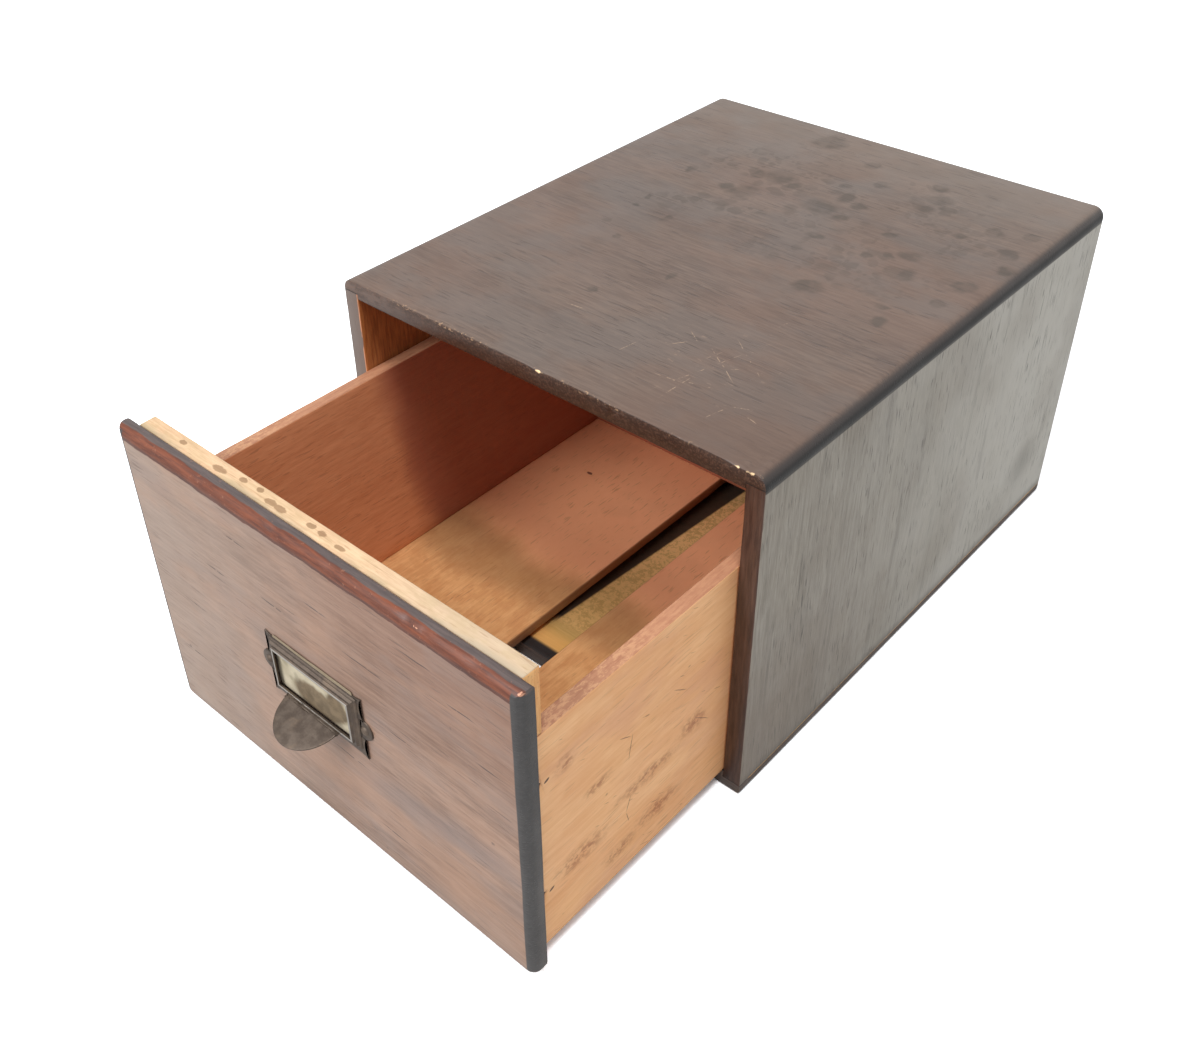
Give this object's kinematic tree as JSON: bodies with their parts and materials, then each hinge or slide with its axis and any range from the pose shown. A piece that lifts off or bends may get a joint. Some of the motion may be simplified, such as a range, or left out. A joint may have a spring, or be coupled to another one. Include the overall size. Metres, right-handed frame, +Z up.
{
  "type": "index card drawer",
  "caption": "Desktop index card drawer: a dark wooden case with an open-topped card drawer, a label holder with a finger pull, and a slotted drawer floor.",
  "frame": {"origin": "middle of the case's underside", "axes": "-Y towards the drawer's front, +Y towards the case's back, +X to the right as seen from the front, +Z up"},
  "size_m": [0.246, 0.4554, 0.182],
  "materials": {
    "case_stain": "dark walnut stain under thin worn varnish",
    "case_panel": "plain sawn panel, thin brown wash",
    "front_stain": "greyed red-brown stain, satin",
    "pale_wood": "bare pale wood with water spots",
    "box_wood": "bare red-brown wood, smooth",
    "floor_wood": "bare orange-tan wood, smooth",
    "nail_steel": "dull dark steel",
    "aged_bronze": "aged gunmetal bronze",
    "card_stock": "uncoated card with a brown stain"
  },
  "bodies": {
    "case": {"case_top": "case_stain", "case_bottom": "case_stain", "case_left_side": "case_stain", "case_right_side": "case_stain", "case_back": "case_panel", "case_top_nails": "nail_steel", "case_bottom_nails": "nail_steel", "case_back_brads": "nail_steel"},
    "drawer": {"drawer_front": "front_stain", "inner_front": "pale_wood", "drawer_left_side": "box_wood", "drawer_right_side": "box_wood", "drawer_back": "box_wood", "floor_left_board": "floor_wood", "floor_right_board": "floor_wood", "side_front_nails": "nail_steel", "side_back_nails": "nail_steel", "floor_nails": "nail_steel", "front_screws": "nail_steel", "label_holder": "aged_bronze", "label_tacks": "aged_bronze"},
    "card": {"label_card": "card_stock"}
  },
  "joints": [
    {"name": "drawer_slide", "type": "slide", "parent": "case", "child": "drawer", "axis": [0, -1, 0], "range_m": [-0.124, 0.126]},
    {"name": "card_slide", "type": "slide", "parent": "drawer", "child": "card", "axis": [0, 0, 1], "range_m": [0, 0.028]}
  ]
}
